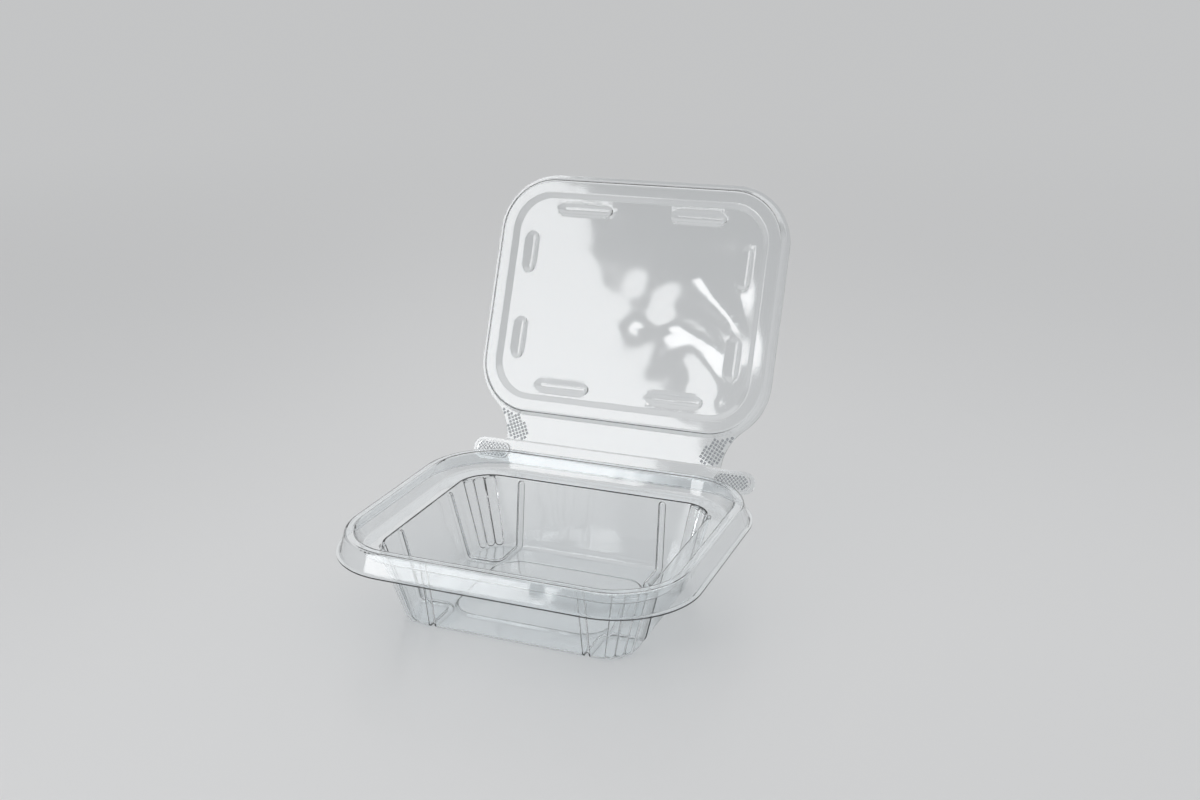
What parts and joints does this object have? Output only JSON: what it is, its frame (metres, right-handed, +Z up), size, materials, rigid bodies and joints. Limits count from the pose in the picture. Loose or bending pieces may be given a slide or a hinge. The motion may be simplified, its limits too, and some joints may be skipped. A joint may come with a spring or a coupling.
{
  "type": "clear hinged clamshell pack",
  "caption": "Clear thermoformed clamshell pack: fluted rectangular tray with a raised rim, tear strip along the hinge side, and a recessed lid with stacking lugs that swings shut into the rim.",
  "frame": {"origin": "centre of the tray's underside, in the plane that the tray stands on", "axes": "+Z up out of the tray's mouth, +X along the fold line, +Y from the tray towards the hinge side"},
  "size_m": [0.137, 0.162, 0.1388],
  "materials": {
    "clear_pet": "clear gloss"
  },
  "bodies": {
    "base": {"tray": "clear_pet", "tear_strip": "clear_pet"},
    "cover": {"lid": "clear_pet"}
  },
  "joints": [
    {"name": "lid_hinge", "type": "hinge", "parent": "base", "child": "cover", "pos_m": [0, 0.061, 0.0356], "axis": [-1, 0, 0], "range_deg": [-113, 67]}
  ]
}
